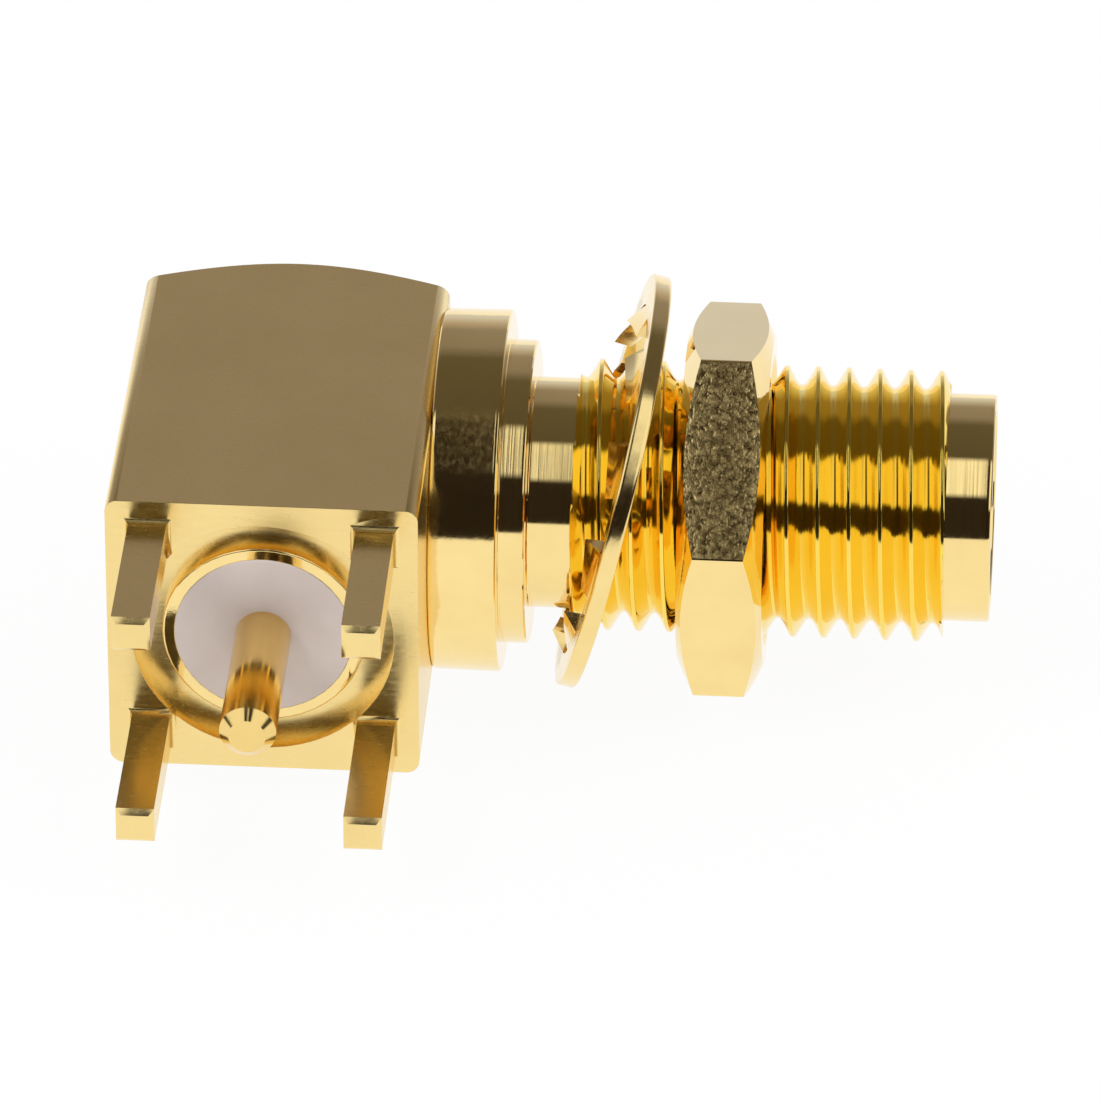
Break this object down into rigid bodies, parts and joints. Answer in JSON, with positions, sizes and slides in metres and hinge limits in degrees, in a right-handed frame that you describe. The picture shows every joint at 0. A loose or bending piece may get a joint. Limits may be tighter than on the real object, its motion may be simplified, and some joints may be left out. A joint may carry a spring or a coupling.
{
  "type": "sma connector",
  "caption": "Right-angle coaxial board jack: square block with four legs and a centre pin, threaded barrel with lock washer and hex nut.",
  "frame": {"origin": "on the axis of the board pin, in the plane of the block's board face", "axes": "+Z out of the board, along the board pin's axis; +X along the coaxial axis, out of the mating face; +Y to the side"},
  "size_m": [0.0197, 0.0095, 0.0155],
  "materials": {
    "plated_body": "gold plating over machined brass, satin with fine tool lines",
    "plated_contact": "bright gold plating over drawn brass",
    "plated_hardware": "gold plating, bright on the edges",
    "ptfe": "waxy white, turned"
  },
  "bodies": {
    "connector": {"body_block": "plated_body", "rear_cap": "plated_body", "board_insulator": "ptfe", "board_pin": "plated_contact", "jack_barrel": "plated_body", "front_insulator": "ptfe", "centre_contact": "plated_contact"},
    "washer": {"lock_washer": "plated_hardware"},
    "nut": {"hex_nut": "plated_hardware"}
  },
  "joints": [
    {"name": "washer_slide", "type": "slide", "parent": "connector", "child": "washer", "axis": [1, 0, 0], "range_m": [-0.00029, 0.00599]},
    {"name": "nut_turn", "type": "hinge", "parent": "washer", "child": "nut", "pos_m": [0.01, 0, 0.0065], "axis": [1, 0, 0], "range_deg": [-150, 3060]}
  ],
  "couplings": [
    {"joint": "nut_turn", "follows": "washer_slide", "rad_per_m": 8904.7}
  ]
}
